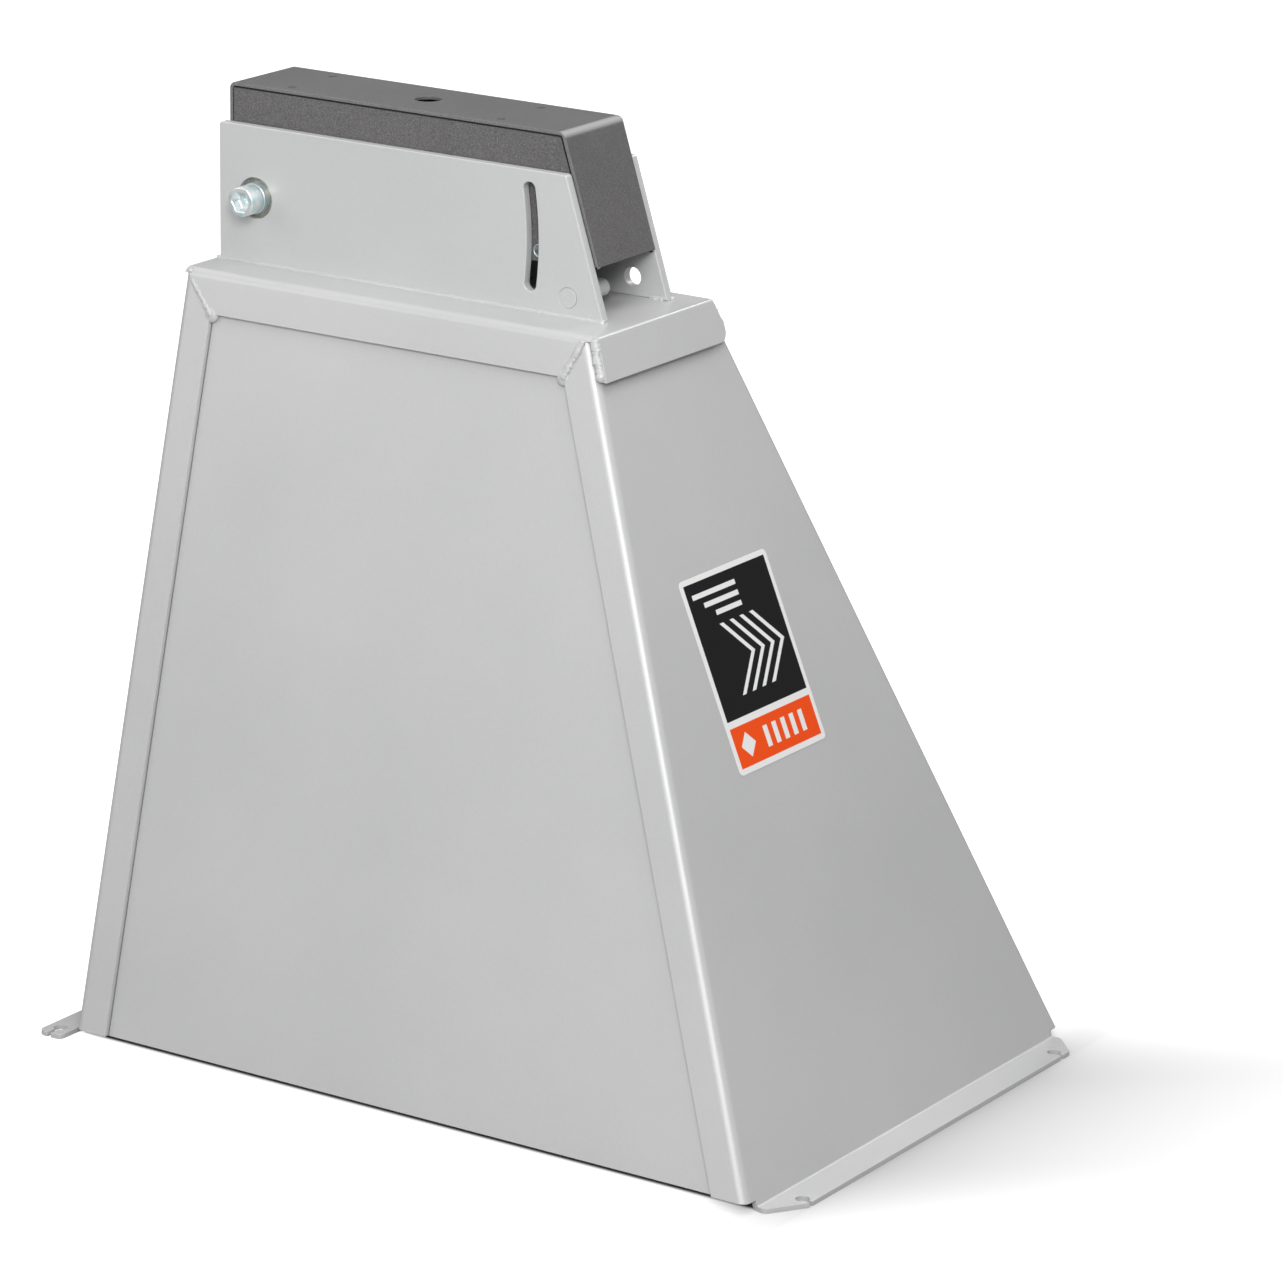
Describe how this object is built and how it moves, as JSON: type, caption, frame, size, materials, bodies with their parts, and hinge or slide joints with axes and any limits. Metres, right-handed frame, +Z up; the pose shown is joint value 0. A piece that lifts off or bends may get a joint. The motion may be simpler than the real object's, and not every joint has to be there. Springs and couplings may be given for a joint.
{
  "type": "bench grinder stand",
  "caption": "Sheet-steel floor stand that tapers upwards, with a tilting box-shaped head between two slotted bracket plates, for a belt or bench grinder.",
  "frame": {"origin": "on the floor, at the middle of the footprint over the two floor flanges", "axes": "+Z up; +X along the front from the upright left wall to the leaning right wall; +Y from front to rear"},
  "size_m": [0.701, 0.488, 0.75],
  "materials": {
    "silver_paint": "light silver-grey satin powder coat on steel sheet and plate",
    "anthracite_coat": "anthracite fine-textured powder coat on steel",
    "zinc_plate": "bright zinc-plated steel with a faint blue-yellow tint",
    "label_film": "printed film label, satin"
  },
  "bodies": {
    "stand": {"left_side": "silver_paint", "right_side": "silver_paint", "front_panel": "silver_paint", "rear_panel": "silver_paint", "top_cap": "silver_paint", "mitre_welds": "silver_paint", "lip_welds": "silver_paint", "panel_stitches": "silver_paint", "front_plate": "silver_paint", "rear_plate": "silver_paint", "plate_welds": "silver_paint", "stop_stud": "silver_paint", "label_plate": "label_film"},
    "head": {"head_strip": "anthracite_coat", "front_cheek": "anthracite_coat", "rear_cheek": "anthracite_coat", "head_stitches": "anthracite_coat", "front_boss": "anthracite_coat", "rear_boss": "anthracite_coat", "pivot_sleeves": "zinc_plate", "pivot_screws": "zinc_plate", "clamp_nuts": "zinc_plate", "cheek_stud": "anthracite_coat"}
  },
  "joints": [
    {"name": "head_tilt", "type": "hinge", "parent": "stand", "child": "head", "pos_m": [-0.2825, 0.009, 0.661], "axis": [0, -1, 0], "range_deg": [-2.9, 10.5]}
  ]
}
